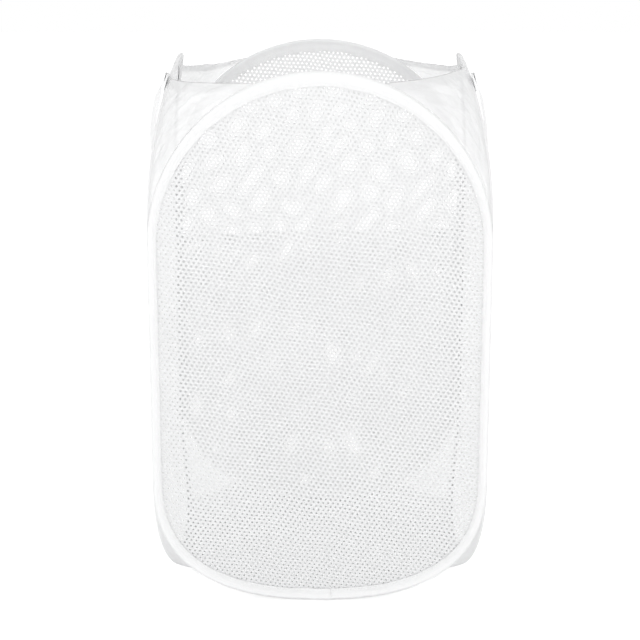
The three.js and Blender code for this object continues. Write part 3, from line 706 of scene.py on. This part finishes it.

# Base: one piece of closely woven white cloth, sewn under the four hoops and along the lower corner
# pieces. It lies on the floor in the middle and curves up to its seams. It is drawn as four gores,
# one for each panel, and each is carried by its panel.
base_finish = woven("base_cloth", white_cloth, 0.0006, 1.0, 0.45, 0.7, glow=0.1)
base_corner_angle = 1.0
base_flat_share = 0.62
base_lift = 0.0007


def base_edge(side, count):
    """One gore's outer edge: half of a lower corner piece's bottom row, under a hoop to the next corner
    piece, and half of its row, as places in order; the back and left ones are turned half round."""
    angle = np.linspace(base_corner_angle, math.pi / 2, count)
    s, z = bottom_edge(angle)
    hoop = np.stack([s, lean(z) - inner_half - mid_bead, z - 0.0002], axis=-1)
    start = hoop[0]
    end = np.array([-start[1] - side_tuck, -start[0], start[2]])
    post = np.array([inner_half, -inner_half, start[2]])
    pull = (start + end) / 2 * (1 - lower_fullness) + post * lower_fullness
    v = np.linspace(0, 1, 27)[:, None]
    corner = start * (1 - v) ** 2 + pull * 2 * v * (1 - v) + end * v**2
    if side in ("front", "back"):
        half = np.concatenate([corner[13:0:-1], hoop])
        edge = np.concatenate([half, half[-2::-1] * np.array([-1, 1, 1])])
    else:
        hoop = np.stack([-hoop[:, 1] - side_tuck, -hoop[:, 0], hoop[:, 2]], axis=-1)
        half = np.concatenate([corner[13:-1], hoop])
        edge = np.concatenate([half, half[-2::-1] * np.array([1, -1, 1])])[::-1]
    return edge * np.array([-1, -1, 1]) if side in ("back", "left") else edge


for number, side in enumerate(sides):
    base_rim = base_edge(side, 26)
    reach = np.concatenate([np.linspace(0.004, base_flat_share, 22), np.linspace(base_flat_share, 1, 20)[1:]])
    rise = (np.clip((reach - base_flat_share) / (1 - base_flat_share), 0, None) ** 2)[:, None]
    gore = base_rim[None] * reach[:, None, None]
    gore[..., 2] = base_lift + (base_rim[None, :, 2] - base_lift) * rise
    turn_share = np.linspace(0, 1, len(base_rim))[None, :]
    loose = smooth(0.05, 0.4, reach)[:, None]
    held = np.sin(math.pi * turn_share) * loose * (1 - smooth(0.85, 1.0, reach))[:, None]
    waves = ripples(gore[..., 0] + gore[..., 1] * 0.6, [0.07, 0.11, 0.043], 70 + number)
    pillow = 0.0016 * held * (1 + waves)
    gore[..., 2] += np.clip(pillow, 0, None)
    gore_quads = grid_quads(*gore.shape[:2])
    gore_piece = make_mesh(f"base_{side}_gore", gore, gore_quads, base_finish, gore[..., :2] + number)
    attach(gore_piece, panel_of[side])
    middle = turned(np.array([0.0, -0.165, 0.0]), number)
    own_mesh(gore_piece)
    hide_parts("base_cloth")

# Handles: one strap of ribbed white webbing on each side panel. Its ends are sewn on the binding with
# a boxed cross, stand up over the hoop, turn over and hang down outside as a loop.
webbing_width = 0.02
webbing_thickness = 0.0012
tab_s = 0.08
hinge_z = 0.55936
hinge_t = 0.0071
handle_drop = 0.108
handle_twist = math.pi / 12
strap_steps = 150
tab_steps = 24
tab_t = 0.0053
box_half = 0.0078
webbing_finish = woven("ribbed_webbing", white_cloth, 0.0011, 0.35, 0.4, 0.75, across=0.55)


def webbing(name, centre, across, out, thickness=webbing_thickness):
    """A flat strap with rounded edges: a closed section carried along its middle line, with the wide
    direction and the outward direction given at each step; its ribs follow the length."""
    under = [[-1, -0.35], [-0.985, -0.8], [-0.94, -1], [-0.5, -1.04], [0, -1.06], [0.5, -1.04], [0.94, -1],
             [0.985, -0.8], [1, -0.35]]
    corner = np.array(under + [[wide, -thick] for wide, thick in under[::-1]])
    wide = across[:, None] * (corner[None, :, :1] * webbing_width / 2)
    thick = out[:, None] * (corner[None, :, 1:] * thickness / 2)
    points = centre[:, None] + wide + thick
    rows, ring = points.shape[:2]
    run = running_length(centre)
    flat = np.stack(np.broadcast_arrays(run[:, None], corner[None, :, 0] * webbing_width / 2), axis=-1)
    quads = grid_quads(rows, ring, ring=True)
    pair = np.arange(8)
    cap = np.stack([pair, pair + 1, 16 - pair, 17 - pair], axis=-1)
    quads = np.concatenate([quads, cap, cap[:, ::-1] + (rows - 1) * ring])
    return make_mesh(name, points, quads, webbing_finish, flat)


def even_curve(knots, count):
    """A smooth curve through its knots: cubic pieces whose slopes are those of the chords beside each
    knot, then equal steps along it."""
    knots = np.asarray(knots, float)
    slope = np.gradient(knots, axis=0)
    place = np.linspace(0, len(knots) - 1, 3000)
    low = np.clip(place.astype(int), 0, len(knots) - 2)
    f = (place - low)[:, None]
    curve = (knots[low] * (1 + 2 * f) * (1 - f) ** 2 + slope[low] * f * (1 - f) ** 2
             + knots[low + 1] * f**2 * (3 - 2 * f) + slope[low + 1] * f**2 * (f - 1))
    length = running_length(curve)
    even = np.linspace(0, length[-1], count)
    return np.stack([np.interp(even, length, curve[:, axis]) for axis in range(knots.shape[1])], axis=-1)


leg = [(tab_s * wide, hinge_z - handle_drop * drop) for wide, drop in
       ((1, 0.008), (1, 0.1), (0.97, 0.3), (0.86, 0.6), (0.58, 0.87))]
strap_route = even_curve(leg + [(0, hinge_z - handle_drop)] + [(-s, z) for s, z in leg[::-1]], strap_steps)
strap_share = np.linspace(0, 1, strap_steps)
strap_middle = 1 - np.abs(2 * strap_share - 1)
strap_flare = -handle_twist * (1.1 * smooth(0.03, 0.2, strap_middle) - 0.6 * smooth(0.3, 0.85, strap_middle))
strap_ahead = headings(strap_route)
tab_top = top_arc_base + math.sqrt(top_arc_height**2 - (tab_s - webbing_width / 2) ** 2)
tab_route = even_curve([(tab_top - 0.015, tab_t), (tab_top - 0.0075, tab_t), (tab_top, tab_t),
                        (tab_top + 0.001, tab_t), (tab_top + 0.0025, 0.0062)], tab_steps)
for side, flare_share in (("left", 1.0), ("right", 0.45)):
    strap_turn = strap_flare * flare_share
    bulge = 0.0012 * np.sin(math.pi * strap_share)
    lift = hinge_t + webbing_thickness - webbing_width / 2 * np.sin(strap_turn) + bulge
    strap_centre = on_panel(side, strap_route[:, 0], strap_route[:, 1], lift)
    wide_s, wide_z = -strap_ahead[:, 1] * np.cos(strap_turn), strap_ahead[:, 0] * np.cos(strap_turn)
    strap_wide = turned(np.stack([wide_s, -np.sin(strap_turn), wide_z], axis=-1), sides.index(side))
    strap_out = np.cross(strap_wide, headings(strap_centre))
    strap = webbing(f"{side}_handle_webbing", strap_centre, strap_wide, strap_out)
    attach(strap, f"{side}_handle")
    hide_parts(f"{side}_handle_strap")
    for word, middle in (("a", -tab_s), ("b", tab_s)):
        tab_centre = on_panel(side, np.full(tab_steps, middle), tab_route[:, 0],
                              tab_route[:, 1] + webbing_thickness / 2)
        tab_wide = turned(np.tile([1.0, 0.0, 0.0], (tab_steps, 1)), sides.index(side))
        tab_out = np.cross(headings(tab_centre), tab_wide)
        tab = webbing(f"{side}_handle_end_{word}", tab_centre, tab_wide, tab_out)
        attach(tab, f"{side}_panel")
        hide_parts(f"{side}_handle_tab_{word}")
        low_z, high_z = tab_top - 0.0132, tab_top - 0.002
        box = np.array([[-box_half, low_z], [box_half, low_z], [box_half, high_z], [-box_half, high_z],
                        [-box_half, low_z], [box_half, high_z], [box_half, low_z], [-box_half, high_z]])
        steps = np.linspace(0, len(box) - 1, 700)
        box_s = np.interp(steps, np.arange(len(box)), box[:, 0]) + middle
        box_z = np.interp(steps, np.arange(len(box)), box[:, 1])
        box_path = on_panel(side, box_s, box_z, tab_t + webbing_thickness * 1.03)
        cross = stitches(f"{side}_handle_end_{word}_stitches", box_path, panel_normal(side, box_z), 0.0024,
                         thread_finish)
        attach(cross, f"{side}_panel")

# Sprung hoops and their sleeves: flat spring steel strip in each bead, its ends joined at the bottom
# by a thin pressed sleeve. The strip is blue-grey from tempering and faintly drawn along its length.
steel_finish = bpy.data.materials.new("spring_steel")
steel_finish.use_nodes = True
steel_tree = steel_finish.node_tree
steel_tree.nodes.clear()
steel_place = add(steel_tree, "ShaderNodeTexCoord").outputs["Object"]
steel_marks = add(steel_tree, "ShaderNodeTexNoise", Vector=steel_place, Scale=260.0,
                  Detail=6.0).outputs["Fac"]
steel_tint = add(steel_tree, "ShaderNodeMix", {"data_type": "RGBA"}, _0=steel_marks, _6=(0.42, 0.44, 0.47, 1),
                 _7=(0.62, 0.63, 0.65, 1))
steel_rough = add(steel_tree, "ShaderNodeMapRange", Value=steel_marks, _3=0.25, _4=0.42).outputs[0]
steel_relief = add(steel_tree, "ShaderNodeBump", Strength=0.15, Distance=0.0001,
                   Height=steel_marks).outputs[0]
steel_skin = add(steel_tree, "ShaderNodeBsdfPrincipled", Base_Color=steel_tint.outputs["Result"],
                 Metallic=1.0, Roughness=steel_rough, Normal=steel_relief)
add(steel_tree, "ShaderNodeOutputMaterial", Surface=steel_skin.outputs[0])
for side in sides:
    for node_name in (f"{side}_spring_hoop", f"{side}_hoop_ferrule"):
        for steel_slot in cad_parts[node_name].material_slots:
            steel_slot.material = steel_finish
